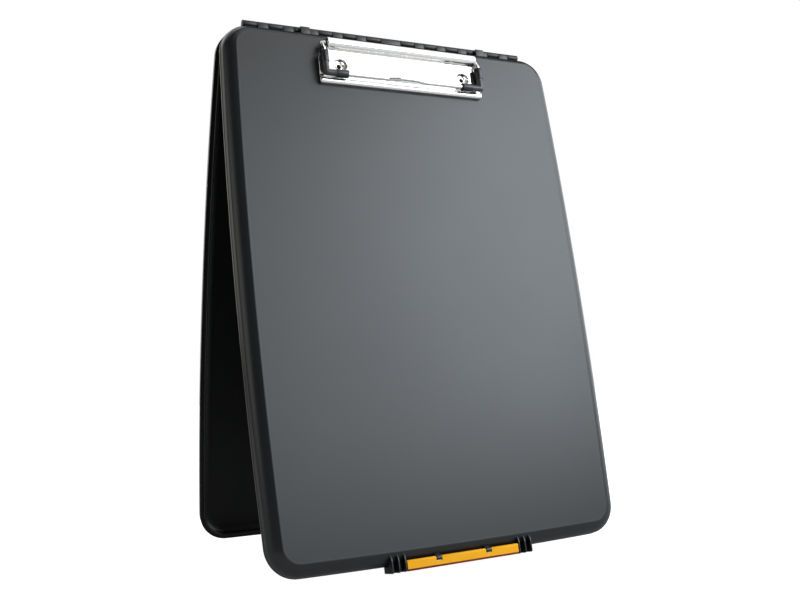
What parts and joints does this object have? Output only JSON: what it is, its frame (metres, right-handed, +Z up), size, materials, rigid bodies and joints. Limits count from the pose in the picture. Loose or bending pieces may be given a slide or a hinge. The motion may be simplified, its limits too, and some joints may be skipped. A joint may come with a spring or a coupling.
{
  "type": "storage clipboard",
  "caption": "Slim storage clipboard: two shallow hinged plastic shells that open like a tent, with a low-profile wire bail clip on the front and a flip latch at the foot.",
  "frame": {"origin": "centre of the footprint, on the surface the open case stands on", "axes": "+Z up, +X along the hinge towards the right as seen from the front, +Y from the front shell (with the clip) to the rear shell"},
  "size_m": [0.2622, 0.1648, 0.3602],
  "materials": {
    "shell_front_charcoal": "fine-grained moulded polypropylene, charcoal",
    "shell_rear_charcoal": "fine-grained moulded polypropylene, charcoal",
    "latch_amber": "glossy yellow-orange",
    "clip_plate_nickel": "polished nickel plate",
    "bail_nickel": "bright nickel-plated wire",
    "rivet_nickel": "bright nickel plate",
    "grip_rubber": "soft black rubber",
    "steel_wire": "plain drawn steel"
  },
  "bodies": {
    "front": {"front_shell": "shell_front_charcoal", "hinge_pin": "steel_wire", "clip_plate": "clip_plate_nickel", "rivet_left": "rivet_nickel", "rivet_right": "rivet_nickel", "clip_spring": "steel_wire"},
    "rear": {"rear_shell": "shell_rear_charcoal"},
    "latch": {"latch": "latch_amber"},
    "bail": {"clip_bail": "bail_nickel", "grip_left": "grip_rubber", "grip_right": "grip_rubber"}
  },
  "joints": [
    {"name": "case_hinge", "type": "hinge", "parent": "front", "child": "rear", "pos_m": [0, 0, 0.35787], "axis": [1, 0, 0], "range_deg": [-22.35, 167.6]},
    {"name": "latch_pivot", "type": "hinge", "parent": "front", "child": "latch", "pos_m": [0, -0.08024, 0.00737], "axis": [-1, 0, 0], "range_deg": [-6.5, 62]},
    {"name": "bail_pivot", "type": "hinge", "parent": "front", "child": "bail", "pos_m": [0, -0.0179, 0.34572], "axis": [-1, 0, 0], "range_deg": [0, 100], "stiffness_Nm_per_rad": 0.1, "springref_deg": -51.57}
  ]
}
